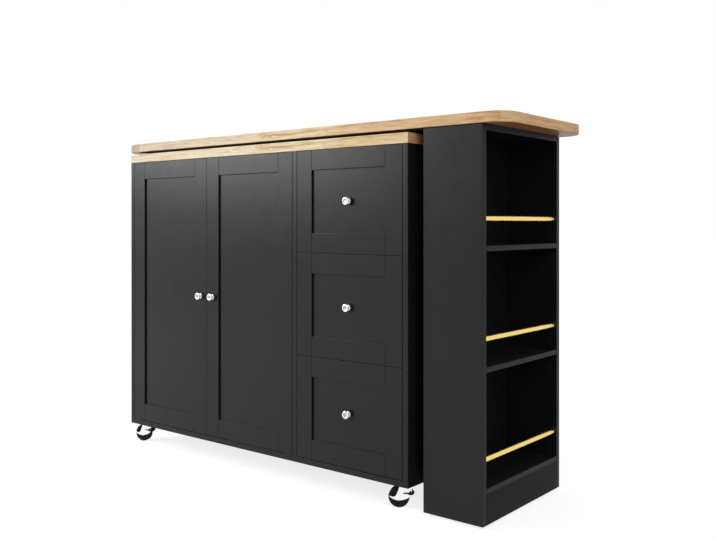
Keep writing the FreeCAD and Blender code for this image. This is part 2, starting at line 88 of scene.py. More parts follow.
# Table and its swivel plates
TABLE_SPAN = (-66.0, 1288.0)
TABLE_DEPTH = (22.5, 427.5)
TABLE_LEVELS = (892.0, 917.0)
TABLE_CORNER = 54.0
SWIVEL_X, SWIVEL_Y = 100.0, 200.0
SWIVEL_HALF, SWIVEL_PLATE = 75.0, 2.0

# Shelf tower
TOWER_SPAN = (1072.0, 1230.0)
TOWER_DEPTH = (22.5, 397.5)
TOWER_LOW = 6.0
TOWER_LEFT, TOWER_RIGHT = TOWER_SPAN[0] + BOARD, TOWER_SPAN[1] - BOARD
TOWER_NEAR, TOWER_FAR = TOWER_DEPTH[0] + BOARD, TOWER_DEPTH[1] - BOARD
TOWER_SHELF = 12.0
TOWER_SHELF_LEVELS = (75.0, 342.33, 609.67)
ROD_LEVELS = (148.0, 415.33, 682.67)
ROD_X, ROD_RADIUS = 1219.0, 6.5

# Casters: wheel radius, trail, mounting plate, race, fork and the lever's pin
WHEEL, TRAIL = 25.0, 21.0
PLATE_HALF = 25.0
PLATE_LEVELS = (58.0, 60.0)
RACE_LOW = 55.0
CAP_HALF, CAP_LOW, CAP_HIGH = 17.0, 52.7, 54.7
FORK_INSIDE, FORK_OUTSIDE = 11.5, 13.5
PEDAL_PIN_X, PEDAL_PIN_Z = 6.0, 37.0


# Materials

def material(name, metallic=0.0, specular=0.5):
    """A new material with one Principled shader, along with its node tree and the shader."""
    mat = bpy.data.materials.new(name)
    mat.use_nodes = True
    tree = mat.node_tree
    tree.nodes.clear()
    shader = tree.nodes.new("ShaderNodeBsdfPrincipled")
    output = tree.nodes.new("ShaderNodeOutputMaterial")
    tree.links.new(shader.outputs[0], output.inputs[0])
    shader.inputs["Metallic"].default_value = metallic
    shader.inputs["Specular IOR Level"].default_value = specular
    return mat, tree, shader


def node(tree, kind, inputs=None, **settings):
    """Add a node. Inputs are values, or sockets of other nodes to link."""
    made = tree.nodes.new("ShaderNode" + kind)
    for key, value in settings.items():
        setattr(made, key, value)
    for key, value in (inputs or {}).items():
        socket = made.inputs[key]
        if isinstance(value, bpy.types.NodeSocket):
            tree.links.new(value, socket)
        else:
            socket.default_value = value
    return made


def maths(tree, operation, first, second=0.0):
    return node(tree, "Math", {0: first, 1: second}, operation=operation).outputs[0]


def weigh(tree, first, share, second, other):
    """The sum of two values, each taken at its share."""
    return maths(tree, "ADD", maths(tree, "MULTIPLY", first, share),
                 maths(tree, "MULTIPLY", second, other))


def object_place(tree, scale=(1.0, 1.0, 1.0)):
    """The point on the object, in metres, stretched by the scale."""
    place = node(tree, "TexCoord").outputs["Object"]
    return node(tree, "Mapping", {"Vector": place, "Scale": scale}).outputs[0]


def noise(tree, place, scale, detail=3.0, roughness=0.5, distortion=0.0):
    return node(tree, "TexNoise", {"Vector": place, "Scale": scale, "Detail": detail,
                                   "Roughness": roughness, "Distortion": distortion}).outputs[0]


def ramp(tree, value, stops):
    """A colour ramp with (place, colour) stops."""
    made = node(tree, "ValToRGB", {0: value})
    elements = made.color_ramp.elements
    while len(elements) < len(stops):
        elements.new(0.5)
    for element, (place, colour) in zip(elements, stops):
        element.position = place
        element.color = (*colour, 1.0)
    return made.outputs[0]


def spread(tree, value, low, high):
    """Map a value that runs from 0.3 to 0.7, as noise mostly does, to low and high."""
    return node(tree, "MapRange", {0: value, 1: 0.3, 2: 0.7, 3: low, 4: high}).outputs[0]


def mix(tree, factor, first, second, blend="MIX"):
    made = node(tree, "Mix", data_type="RGBA", blend_type=blend)
    for index, value in ((0, factor), (6, first), (7, second)):
        socket = made.inputs[index]
        if isinstance(value, bpy.types.NodeSocket):
            tree.links.new(value, socket)
        elif socket.type == "RGBA":
            socket.default_value = (*value, 1.0)
        else:
            socket.default_value = value
    return made.outputs[2]


def set_looks(tree, shader, colour, roughness):
    tree.links.new(colour, shader.inputs["Base Color"])
    tree.links.new(roughness, shader.inputs["Roughness"])


def bump(tree, shader, height, strength, distance):
    made = node(tree, "Bump", {"Height": height, "Strength": strength, "Distance": distance})
    tree.links.new(made.outputs[0], shader.inputs["Normal"])


def lacquer_material(name, specular, low, high):
    """Satin black lacquer: fine orange peel, faint tone drift, uneven sheen."""
    mat, tree, shader = material(name, specular=specular)
    place = object_place(tree)
    drift = noise(tree, place, 2.2, 4.0)
    fibres = noise(tree, object_place(tree, (60.0, 60.0, 5.0)), 6.0, 3.0)
    colour = ramp(tree, weigh(tree, drift, 0.7, fibres, 0.3),
                  ((0.3, (0.0082, 0.0082, 0.0085)), (0.7, (0.0115, 0.0115, 0.0118))))
    set_looks(tree, shader, colour, spread(tree, noise(tree, place, 24.0, 5.0), low, high))
    bump(tree, shader, noise(tree, place, 620.0, 2.0), 0.05, 0.00025)
    return mat


# The grain map gives metres along and across the staves. Its rim and its underside lie apart, by
# these shifts across, and are told by the limits.
RIM_SHIFT, RIM_ABOVE = 2.012, 1.0
UNDER_SHIFT, UNDER_BELOW = -1.012, -0.3
STAVE_WIDTH, STAVE_LENGTH = 0.046, 0.52
ROWS_BEFORE, STAVES_BEFORE = 40.5, 20.0
SEAM_HALF, STRIP_SEAM_HALF = 0.0004, 0.0007
DRIFT_SPAN = (-0.62, 0.64)
WOOD_FIGURE = ((0.36, (0.66, 0.50, 0.37)), (0.45, (0.92, 0.86, 0.78)),
               (0.53, (1.0, 1.0, 1.0)), (0.64, (1.06, 1.09, 1.14)))
# The last factor on the next line darkens the tops' undersides as painted shade.
DEEP_TINT, STAIN_TINT, UNDER_PAINTED_SHADE = (0.64, 0.50, 0.40), (0.82, 0.60, 0.45), (0.73, 0.46, 0.35)
UNDER_SHEEN = 0.34


def wood_material(name, tone_and_sheen_ramp, strips):
    """Solid wood glued up from staves, its tone drifting along X, the paler left end in part
    painted sheen. Each strip round the rim is given by where it begins and its factor, which in
    part paints light and shade. The underside is darker, which is painted shade, and has more
    sheen."""
    mat, tree, shader = material(name, specular=0.2)
    grain = node(tree, "UVMap", uv_map="grain").outputs[0]
    u, v = node(tree, "SeparateXYZ", {0: grain}).outputs[:2]
    rim = maths(tree, "GREATER_THAN", v, RIM_ABOVE)
    flat = maths(tree, "SUBTRACT", 1.0, rim)
    under = maths(tree, "LESS_THAN", v, UNDER_BELOW)
    across = maths(tree, "ADD", maths(tree, "DIVIDE", v, STAVE_WIDTH), ROWS_BEFORE)
    row = maths(tree, "FLOOR", across)
    shift = node(tree, "TexWhiteNoise", {"W": row}, noise_dimensions="1D").outputs[0]
    along = maths(tree, "ADD", maths(tree, "DIVIDE", u, STAVE_LENGTH), STAVES_BEFORE)
    along = weigh(tree, maths(tree, "ADD", along, shift), flat, rim, 0.5)
    cell = node(tree, "CombineXYZ", {0: maths(tree, "FLOOR", along), 1: row, 2: 0.0}).outputs[0]
    chance = node(tree, "TexWhiteNoise", {"Vector": cell}, noise_dimensions="3D")
    offset = node(tree, "VectorMath", {0: chance.outputs[1], 1: (7.0, 7.0, 7.0)},
                  operation="MULTIPLY")
    place = node(tree, "CombineXYZ", {0: u, 1: v, 2: 0.0}).outputs[0]
    moved = node(tree, "VectorMath", {0: place, 1: offset.outputs[0]}, operation="ADD").outputs[0]

    def stretched(scale_u, scale_v):
        return node(tree, "Mapping", {"Vector": moved, "Scale": (scale_u, scale_v, 1.0)}).outputs[0]

    broad = noise(tree, stretched(1.5, 32.0), 1.0, 5.0, 0.62, 1.2)
    streaks = noise(tree, stretched(5.5, 125.0), 1.0, 5.0, 0.62, 0.7)
    fibres = noise(tree, stretched(16.0, 620.0), 1.0, 3.0, 0.6)
    figure = ramp(tree, weigh(tree, broad, 0.42, streaks, 0.58), WOOD_FIGURE)
    x = node(tree, "SeparateXYZ", {0: node(tree, "TexCoord").outputs["Object"]}).outputs[0]
    drift = node(tree, "MapRange", {0: x, 1: DRIFT_SPAN[0], 2: DRIFT_SPAN[1],
                                    3: 0.0, 4: 1.0}).outputs[0]
    # Tone along X, with the paler left end in part painted sheen.
    base = ramp(tree, drift, tone_and_sheen_ramp)
    figured = mix(tree, 1.0, base, figure, "MULTIPLY")
    ring_edge = maths(tree, "POWER", maths(tree, "FRACT", maths(tree, "MULTIPLY", broad, 6.0)), 3.0)
    deep = mix(tree, 1.0, base, DEEP_TINT, "MULTIPLY")
    ringed = mix(tree, maths(tree, "MULTIPLY", ring_edge, 0.26), figured, deep)
    fine = mix(tree, spread(tree, fibres, 0.26, 0.0), ringed, deep)
    flecks = noise(tree, stretched(14.0, 150.0), 1.0, 4.0, 0.6, 1.4)
    stain = node(tree, "MapRange", {0: flecks, 1: 0.50, 2: 0.64, 3: 0.0, 4: 0.80}).outputs[0]
    flecked = mix(tree, stain, fine, mix(tree, 1.0, fine, STAIN_TINT, "MULTIPLY"))
    level = spread(tree, chance.outputs[0], 0.96, 1.03)
    grey = node(tree, "CombineColor", {0: level, 1: level, 2: level}).outputs[0]
    toned = mix(tree, 1.0, flecked, grey, "MULTIPLY")

    def near_seam(value, half):
        gap = maths(tree, "ABSOLUTE", maths(tree, "SUBTRACT", maths(tree, "FRACT", value), 0.5))
        return maths(tree, "GREATER_THAN", gap, 0.5 - half)

    seam = maths(tree, "MAXIMUM", near_seam(across, SEAM_HALF / STAVE_WIDTH),
                 near_seam(along, SEAM_HALF / STAVE_LENGTH))
    # Factors round the rim, which in part paint light and shade.
    tint = (1.0, 1.0, 1.0)
    for start, colour in strips:
        gap = maths(tree, "ABSOLUTE", maths(tree, "SUBTRACT", u, start))
        here = maths(tree, "MULTIPLY", maths(tree, "LESS_THAN", gap, STRIP_SEAM_HALF), rim)
        seam = maths(tree, "MAXIMUM", seam, here)
        tint = mix(tree, maths(tree, "GREATER_THAN", u, start), tint, colour)
    toned = mix(tree, rim, toned, mix(tree, 1.0, toned, tint, "MULTIPLY"))
    # The underside is darkened: painted shade.
    toned = mix(tree, under, toned, mix(tree, 1.0, toned, UNDER_PAINTED_SHADE, "MULTIPLY"))
    final = mix(tree, maths(tree, "MULTIPLY", seam, 0.40), toned, deep)
    worn = spread(tree, streaks, 0.66, 0.78)
    set_looks(tree, shader, final,
              maths(tree, "SUBTRACT", worn, maths(tree, "MULTIPLY", under, UNDER_SHEEN)))
    height = maths(tree, "SUBTRACT", maths(tree, "MULTIPLY", fibres, 0.6), seam)
    bump(tree, shader, height, 0.18, 0.0004)
    return mat


def board_material(name):
    """Pale birch ply of the drawer boxes, with its grain along Y and thin plies along Z."""
    mat, tree, shader = material(name, specular=0.4)
    grain = noise(tree, object_place(tree, (50.0, 3.0, 50.0)), 1.4, 5.0, 0.6, 0.8)
    fibres = noise(tree, object_place(tree, (500.0, 12.0, 500.0)), 1.0, 2.0)
    base = ramp(tree, grain, ((0.32, (0.54, 0.39, 0.24)), (0.55, (0.68, 0.53, 0.35)),
                              (0.75, (0.76, 0.62, 0.44))))
    fine = mix(tree, spread(tree, fibres, 0.22, 0.0), base, (0.44, 0.30, 0.17))
    set_looks(tree, shader, fine, spread(tree, grain, 0.44, 0.56))
    bump(tree, shader, fibres, 0.15, 0.0003)
    return mat


def metal_material(name, base, low, high, scale=(1.0, 1.0, 1.0), size=40.0, strength=0.04):
    """Metal with uneven polish: roughness runs from low to high."""
    mat, tree, shader = material(name, metallic=1.0)
    worn = noise(tree, object_place(tree, scale), size, 4.0, 0.6)
    deep = tuple(0.93 * c for c in base)
    set_looks(tree, shader, ramp(tree, worn, ((0.3, deep), (0.7, base))),
              spread(tree, worn, low, high))
    bump(tree, shader, worn, strength, 0.0002)
    return mat


def zinc_material(name):
    """Zinc-plated sheet with a soft spangle."""
    mat, tree, shader = material(name, metallic=1.0)
    place = object_place(tree)
    cells = node(tree, "TexVoronoi", {"Vector": place, "Scale": 260.0}).outputs["Color"]
    grey = node(tree, "RGBToBW", {0: cells}).outputs[0]
    colour = ramp(tree, grey, ((0.2, (0.52, 0.53, 0.55)), (0.8, (0.66, 0.67, 0.69))))
    set_looks(tree, shader, colour, spread(tree, noise(tree, place, 90.0, 3.0), 0.28, 0.42))
    bump(tree, shader, noise(tree, place, 500.0, 2.0), 0.06, 0.0002)
    return mat


def dull_material(name, dark, pale, low, high, grain, strength):
    """Black rubber, moulded plastic, paint, and the black of the strips that paint shade under the
    table, with a fine grain. Dark and pale are greys.
    """
    mat, tree, shader = material(name, specular=0.16)
    place = object_place(tree)
    colour = ramp(tree, noise(tree, place, 60.0, 4.0), ((0.3, (dark,) * 3), (0.7, (pale,) * 3)))
    set_looks(tree, shader, colour, spread(tree, noise(tree, place, 120.0, 3.0), low, high))
    bump(tree, shader, noise(tree, place, grain, 3.0), strength, 0.0003)
    return mat


# Tone along X of the table and the worktop; the paler, greyer left end is in part painted sheen.
TABLE_TONES_AND_SHEEN = ((0.0, (0.73, 0.64, 0.51)), (0.25, (0.78, 0.70, 0.56)), (0.53, (0.91, 0.81, 0.61)),
               (0.63, (0.87, 0.74, 0.52)), (0.73, (0.78, 0.60, 0.39)), (1.0, (0.78, 0.56, 0.31)))
# Factors round the table's rim, by where each begins: the first bit of the front and the left front
# corner darker; the right front corner and the rim from there round to the left end lighter, which
# is painted light.
TABLE_RIM_TONE_AND_LIGHT = ((0.0, (0.83, 0.76, 0.74)), (0.0232, (1.0, 1.0, 1.0)), (1.2805, (1.21, 1.20, 1.20)),
                (1.3663, (1.14, 1.10, 1.16)), (3.3405, (0.69, 0.73, 0.82)))
WORKTOP_TONES_AND_SHEEN = ((0.0, (0.80, 0.74, 0.57)), (0.20, (0.88, 0.81, 0.63)), (0.48, (0.95, 0.90, 0.67)),
                 (0.62, (0.95, 0.88, 0.64)), (0.72, (0.86, 0.69, 0.42)), (1.0, (0.91, 0.73, 0.44)))
# Factors round the worktop's rim: both ends darker and browner as end grain, and the right end,
# which lies in the table's shadow, darker still as painted shade.
WORKTOP_RIM_GRAIN_AND_SHADE = ((1.0436, (0.78, 0.55, 0.43)), (1.4738, (1.0, 1.0, 1.0)),
                  (2.5182, (0.80, 0.62, 0.52)))

LACQUER = lacquer_material("black_lacquer_satin", 0.22, 0.26, 0.30)
# A duller copy of the lacquer for faces towards +X and the tower's shelves: a shaded copy, which is
# painted shade.
SHADED_LACQUER_COPY = lacquer_material("black_lacquer_shaded_copy", 0.09, 0.34, 0.40)
# The dullest copy of the lacquer, for the tower's foot: a shaded copy, which is painted shade.
SHADED_FOOT_LACQUER = lacquer_material("black_lacquer_shaded_foot", 0.04, 0.40, 0.48)
TABLE_WOOD = wood_material("oak_table", TABLE_TONES_AND_SHEEN, TABLE_RIM_TONE_AND_LIGHT)
WORKTOP_WOOD = wood_material("oak_worktop", WORKTOP_TONES_AND_SHEEN, WORKTOP_RIM_GRAIN_AND_SHADE)
BOX_BOARD = board_material("birch_box")
CHROME = metal_material("chrome_plate", (0.88, 0.88, 0.90), 0.05, 0.12)
# Darker metal for the knob's dish, which stands in for a grey reflection there: painted reflection.
DISH_PAINTED_REFLECTION = metal_material("knob_dish_painted_reflection", (0.36, 0.36, 0.38), 0.22, 0.34, size=300.0)
BRASS = metal_material("brass_rail", (0.93, 0.69, 0.20), 0.20, 0.32, (60.0, 2.0, 60.0), 8.0, 0.08)
ZINC = zinc_material("zinc_sheet")
RUBBER = dull_material("tyre_rubber", 0.004, 0.009, 0.55, 0.7, 900.0, 0.25)
PLASTIC = dull_material("moulded_black", 0.004, 0.008, 0.36, 0.5, 1400.0, 0.2)
# The black of the strips in the narrow gaps under the table, which stand in for shade: painted
# shade.
SHADE_STRIP_BLACK = dull_material("black_painted_shade_strip", 0.006, 0.011, 0.85, 0.95, 1800.0, 0.5)
PAINTED = dull_material("black_paint", 0.008, 0.013, 0.32, 0.45, 700.0, 0.1)
SLOT_MATERIALS = {"black_lacquer": LACQUER, "oak_top": TABLE_WOOD, "drawer_board": BOX_BOARD,
                  "chrome": CHROME, "zinc_steel": ZINC, "black_steel": PAINTED, "brass": BRASS,
                  "black_rubber": RUBBER, "black_plastic": PLASTIC}


# Mesh tools

def piece(name, bm, body, mat, replaces=(), angle=40.0):
    """Turn a mesh drawn in millimetres into a piece that rides on a body."""
    bmesh.ops.transform(bm, matrix=TO_FRAME, verts=bm.verts)
    bmesh.ops.recalc_face_normals(bm, faces=bm.faces)
    mesh = bpy.data.meshes.new(name)
    bm.to_mesh(mesh)
    bm.free()
    mesh.shade_smooth()
    mesh.set_sharp_from_angle(angle=math.radians(angle))
    mesh.materials.append(mat)
    made = bpy.data.objects.new(name, mesh)
    bpy.context.scene.collection.objects.link(made)
    normals = made.modifiers.new("even_normals", "WEIGHTED_NORMAL")
    normals.keep_sharp = True
    normals.weight = 100
    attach(made, body)
    if replaces:
        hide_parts(*replaces)
    return made


def add_box(bm, low, high, radius):
    """A box with rounded edges."""
    low, high = Vector(low), Vector(high)
    matrix = Matrix.Translation((low + high) / 2) @ Matrix.Diagonal((*(high - low), 1.0))
    made = bmesh.ops.create_cube(bm, size=1.0, matrix=matrix)
    round_edges(bm, made["verts"], radius)


def round_edges(bm, verts, radius, segments=2, least=30.0):
    """Round the sharp edges among the vertices."""
    inside = set(verts)
    edges = [edge for edge in bm.edges if edge.verts[0] in inside and edge.verts[1] in inside
             and edge.calc_face_angle(0.0) > math.radians(least)]
    bmesh.ops.bevel(bm, geom=edges, offset=radius, offset_type="OFFSET", segments=segments,
                    profile=0.5, affect="EDGES", clamp_overlap=True)


def smooth_line(points, steps):
    """A smooth line through the points, with a number of steps between each two."""
    line = []
    last = len(points) - 1
    for index in range(last):
        p0, p1 = points[max(index - 1, 0)], points[index]
        p2, p3 = points[index + 1], points[min(index + 2, last)]
        for step in range(steps):
            t = step / steps
            line.append(tuple(0.5 * (2 * b + (c - a) * t + (2 * a - 5 * b + 4 * c - d) * t * t
                                     + (3 * b - a - 3 * c + d) * t ** 3)
                              for a, b, c, d in zip(p0, p1, p2, p3)))
    line.append(tuple(points[-1]))
    return line


def add_lathe(bm, profile, matrix, segments=48):
    """A turned form about local Z from (radius, height) points that start and end on the axis or
    close on themselves."""
    angles = [2 * math.pi * k / segments for k in range(segments)]
    rings = []
    for radius, height in profile:
        ring = [(radius * math.cos(angle), radius * math.sin(angle), height) for angle in angles]
        if not radius:
            ring = ring[:1]
        rings.append([bm.verts.new(matrix @ Vector(point)) for point in ring])
    closed = len(rings[0]) > 1 and len(rings[-1]) > 1
    pairs = list(zip(rings, rings[1:])) + ([(rings[-1], rings[0])] if closed else [])
    for first, second in pairs:
        for k in range(segments):
            n = (k + 1) % segments
            corners = [first[k % len(first)], first[n % len(first)],
                       second[n % len(second)], second[k % len(second)]]
            unique = list(dict.fromkeys(corners))
            if len(unique) > 2:
                bm.faces.new(unique)


def add_plate(bm, corners, thickness, rim, segments, least):
    """A plate that grows from a flat outline by a vector, with its rims rounded."""
    verts = [bm.verts.new(corner) for corner in corners]
    grown = bmesh.ops.extrude_face_region(bm, geom=[bm.faces.new(verts)])["geom"]
    far = [item for item in grown if isinstance(item, bmesh.types.BMVert)]
    bmesh.ops.translate(bm, vec=Vector(thickness), verts=far)
    round_edges(bm, verts + far, rim, segments, least)


def add_prism(bm, outline, y0, y1, rim, segments=2):
    """A plate in the XZ plane, from y0 to y1."""
    add_plate(bm, [(x, y0, z) for x, z in outline], (0, y1 - y0, 0), rim, segments, 50.0)


def add_raised(bm, outline, z0, z1, rim, segments):
    """A plate in the XY plane, from z0 to z1."""
    add_plate(bm, [(x, y, z0) for x, y in outline], (0, 0, z1 - z0), rim, segments, 60.0)


def turn(axis, degrees):
    return Matrix.Rotation(math.radians(degrees), 4, axis)


# A pan head with a round recess, in shares of its radius and height, and how deep it is sunk
SCREW_HEAD = ((0, 0.55), (0.30, 0.55), (0.34, 0.98), (0.62, 0.94), (0.9, 0.66), (1, 0.2))
SUNK = 0.05


def pan_screw(bm, place, axis, radius, height):
    """A screw's head, standing at a place along an axis."""
    profile = [(radius * r, height * h) for r, h in SCREW_HEAD] + [(radius, -SUNK), (0, -SUNK)]
    upright = Vector(axis).to_track_quat("Z", "Y").to_matrix().to_4x4()
    add_lathe(bm, profile, Matrix.Translation(place) @ upright, 20)


def boards(name, body, mat, boxes, radius, replaces):
    """Boards or plates with rounded edges, in one piece."""
    bm = bmesh.new()
    for low, high in boxes:
        add_box(bm, low, high, radius)
    return piece(name, bm, body, mat, replaces)


def shade_plus_x_faces(made):
    """Give the faces towards +X the duller, shaded copy of the lacquer: painted shade on that side.
    """
    made.data.materials.append(SHADED_LACQUER_COPY)
    for face in made.data.polygons:
        if face.normal.x > 0.9:
            face.material_index = 1


# Doors and drawer fronts

# The rails stop short of the stiles by a hairline. Tongues behind it close the joints.
JOINT, SET_BACK = 0.5, 0.1
TONGUE, TONGUE_BACK, TONGUE_INSET = 2.0, 2.5, 1.0
KNOB_LINE = [(6.6, 0), (7.0, 0.4), (7.0, 1.2), (6.3, 1.8), (5.0, 2.4), (4.3, 3.6), (4.2, 5.0),
             (4.7, 6.5), (6.0, 7.8), (8.0, 8.9), (9.4, 9.7), (9.9, 10.6), (9.9, 11.6), (9.5, 12.6),
             (8.6, 13.4), (7.4, 13.8), (6.2, 13.7), (4.6, 13.3), (2.4, 13.0), (0, 12.9)]
# Where the knob's face takes the darker metal that paints a grey reflection.
DISH_ABOVE, DISH_RADIUS = 12.7, 5.6


def framed_front(name, x0, x1, z0, z1, node_name):
    """Stiles, rails and the recessed panel as separate boards, with softly rounded edges."""
    left, right = x0 + STILE, x1 - STILE
    rails = ((z0, z0 + STILE), (z1 - STILE, z1))
    frame_boards = [((x0, 0, z0), (left, FRONT, z1)), ((right, 0, z0), (x1, FRONT, z1))]
    frame_boards += [((left + JOINT, SET_BACK, low), (right - JOINT, FRONT, high))
                     for low, high in rails]
    frame_boards += [((left - TONGUE, TONGUE_BACK, low + TONGUE_INSET),
                      (right + TONGUE, FRONT - TONGUE_INSET, high - TONGUE_INSET))
                     for low, high in rails]
    frame_boards += [((left - TONGUE, RECESS, z0 + STILE - TONGUE),
                      (right + TONGUE, RECESS + PANEL_THICK, z1 - STILE + TONGUE))]
    boards(name + "_boards", name, LACQUER, frame_boards, 0.6, [node_name])


def knob(body, x, y_face, z):
    """Turned knob: round foot, waist and a flared head with a bright rim about a dish of darker
    metal, which paints a grey reflection there.
    """
    bm = bmesh.new()
    line = [(0, 0)] + smooth_line(KNOB_LINE, 3)
    add_lathe(bm, line, Matrix.Translation((x, y_face, z)) @ turn("X", 90), 64)
    made = piece(body + "_knob", bm, body, CHROME, [body + "_fittings"], 60.0)
    # The dish takes the darker metal: a painted reflection.
    made.data.materials.append(DISH_PAINTED_REFLECTION)
    foot = TO_FRAME @ Vector((x, y_face, z))
    for face in made.data.polygons:
        offset = (face.center - foot) / MM
        if -offset.y > DISH_ABOVE and math.hypot(offset.x, offset.z) < DISH_RADIUS:
            face.material_index = 1


DOOR_MIDDLE = sum(DOOR_LEVELS) / 2
EASE = 0.8
BLOCK_LENGTH, BLOCK_BACK, BLOCK_HEIGHT = 30.0, 9.8, 12.0
for door, (x0, x1) in DOOR_SPANS.items():
    framed_front(door, x0, x1, *DOOR_LEVELS, door)
    left = door == "left_door"
    knob(door, x1 - STILE / 2 if left else x0 + STILE / 2, 0, DOOR_MIDDLE)
    near = x0 + EASE if left else x1 - EASE - BLOCK_LENGTH
    far = near + BLOCK_LENGTH
    boards(door + "_pivot_blocks", door, PAINTED,
           [((near, EASE, DOOR_LEVELS[0] - 0.1), (far, BLOCK_BACK, DOOR_LEVELS[0] + BLOCK_HEIGHT)),
            ((near, EASE, DOOR_LEVELS[1] - BLOCK_HEIGHT), (far, BLOCK_BACK, DOOR_LEVELS[1] + 0.1))],
           0.3, ())
for drawer, (z0, z1) in DRAWER_LEVELS.items():
    framed_front(drawer, *DRAWER_SPAN, z0, z1, drawer + "_front")
    knob(drawer, sum(DRAWER_SPAN) / 2, RECESS, (z0 + z1) / 2)


# Carcass and shelf

TOP_RAIL, TOP_RAIL_FRONTS = 60.0, (20.0, 358.0)
SHELF_LOW, SHELF_DEPTH, SHELF_SIDE_GAP = 460.0, (25.0, 417.7), 0.8
BACK_BOARD_OUTSIDE = 429.3
SCREWS_ROUND_BACK = ([(x, z) for z in (82.0, 850.0) for x in (40, 200, 360, 520, 687.5, 840, 1005)]
                     + [(x, z) for z in (274.0, 466.0, 658.0) for x in (22.5, 687.5, 1022.5)])
BRACKET_WIDTH, BRACKET_FRONTS = 16.0, (65.0, 362.0)
BRACKET_OUTLINE = [(0, 460), (14, 460), (14, 458), (2, 458), (2, 440), (0, 440)]
BRACKET_GAUGE, BRACKET_SCREW_Z = 2.0, 447.0

low, high = CARCASS_LEVELS
for side, x0 in (("left", CABINET_SPAN[0]), ("right", INSIDE_RIGHT)):
    boards(side + "_side", "cabinet", LACQUER,
           [((x0, CABINET_DEPTH[0], low), (x0 + BOARD, CABINET_DEPTH[1], high))], 1.0,
           [side + "_side_panel"])
boards("inner_carcass", "cabinet", LACQUER,
       [((INSIDE_LEFT, CABINET_DEPTH[0], low), (INSIDE_RIGHT, CABINET_DEPTH[1], FLOOR_TOP)),
        ((DIVIDER_SPAN[0], CABINET_DEPTH[0], FLOOR_TOP), (DIVIDER_SPAN[1], BACK_FACE, high))]
       + [((x0, y0, high - BOARD), (x1, y0 + TOP_RAIL, high))
          for x0, x1 in ((INSIDE_LEFT, DIVIDER_SPAN[0]), (DIVIDER_SPAN[1], INSIDE_RIGHT))
          for y0 in TOP_RAIL_FRONTS],
       0.6, ["bottom_panel", "centre_divider", "top_rails"])
boards("cupboard_shelf", "cabinet", LACQUER,
       [((INSIDE_LEFT + SHELF_SIDE_GAP, SHELF_DEPTH[0], SHELF_LOW),
         (DIVIDER_SPAN[0] - SHELF_SIDE_GAP, SHELF_DEPTH[1], SHELF_LOW + BOARD))],
       0.8, ["inner_shelf"])
boards("back_board", "cabinet", LACQUER,
       [((INSIDE_LEFT, BACK_FACE, FLOOR_TOP), (INSIDE_RIGHT, BACK_BOARD_OUTSIDE, high))], 0.5,
       ["back_panel"])

bm = bmesh.new()
for x, z in SCREWS_ROUND_BACK:
    pan_screw(bm, (x, BACK_BOARD_OUTSIDE - 0.1, z), (0, 1, 0), 3.2, 0.75)
piece("back_screws", bm, "cabinet", PAINTED)

bm = bmesh.new()
for face_x, side in ((INSIDE_LEFT, 1), (DIVIDER_SPAN[0], -1)):
    for y0 in BRACKET_FRONTS:
        outline = [(face_x + side * x, z) for x, z in BRACKET_OUTLINE]
        add_prism(bm, outline, y0, y0 + BRACKET_WIDTH, 0.5)
        pan_screw(bm, (face_x + side * BRACKET_GAUGE, y0 + BRACKET_WIDTH / 2, BRACKET_SCREW_Z),
                  (side, 0, 0), 3.0, 1.4)
piece("bracket_angles", bm, "cabinet", ZINC, ["shelf_brackets"])


# Drawer boxes and runners

def add_channel(bm, x_web, x_open, z_mid, half):
    """A folded channel along Y, open to one side."""
    x_fold = x_web + math.copysign(RUNNER_GAUGE, x_open - x_web)
    fold = half - RUNNER_GAUGE
    outline = [(x_web, -half), (x_open, -half), (x_open, -fold), (x_fold, -fold),
               (x_fold, fold), (x_open, fold), (x_open, half), (x_web, half)]
    add_prism(bm, [(x, z_mid + z) for x, z in outline], *RUNNER_DEPTH, 0.35, 1)


outer = bmesh.new()
for drawer, (z0, z1) in DRAWER_LEVELS.items():
    low = z0 + BOX_LIFT
    high = low + BOX_HEIGHT
    runner_z = (low + high) / 2
    (x0, x1), (y0, y1) = BOX_SPAN, BOX_DEPTH
    groove = BOX_SIDE - BOX_GROOVE
    bottom = low + BOX_BOTTOM_LIFT
    boards(drawer + "_box_boards", drawer, BOX_BOARD,
           [((x0, y0, low), (x0 + BOX_SIDE, y1, high)), ((x1 - BOX_SIDE, y0, low), (x1, y1, high)),
            ((x0 + BOX_SIDE, y0, low), (x1 - BOX_SIDE, y0 + BOX_SIDE, high)),
            ((x0 + BOX_SIDE, y1 - BOX_SIDE, low), (x1 - BOX_SIDE, y1, high)),
            ((x0 + groove, y0 + groove, bottom), (x1 - groove, y1 - groove, bottom + BOX_BOTTOM))],
           0.7, [drawer + "_box"])
    middle, inner = bmesh.new(), bmesh.new()
    for wall, side in ((DIVIDER_SPAN[1], 1), (INSIDE_RIGHT, -1)):
        for bm, (web, edge, half) in ((outer, OUTER_CHANNEL), (middle, MIDDLE_CHANNEL),
                                      (inner, INNER_CHANNEL)):
            add_channel(bm, wall + side * web, wall + side * edge, runner_z, half)
        inner_web = wall + side * (INNER_CHANNEL[0] - RUNNER_GAUGE)
        for y in RUNNER_SCREWS:
            pan_screw(inner, (inner_web, y, runner_z), (-side, 0, 0), 3.0, 0.8)
            pan_screw(outer, (wall + side * RUNNER_GAUGE, y, runner_z), (side, 0, 0), 3.0, 0.6)
    piece(drawer + "_middle_channels", middle, drawer.split("_")[0] + "_middle_runners",
          ZINC, [drawer + "_middle_runners"])
    piece(drawer + "_inner_channels", inner, drawer, ZINC)
piece("outer_channels", outer, "cabinet", ZINC, ["outer_runners"])


# Tops

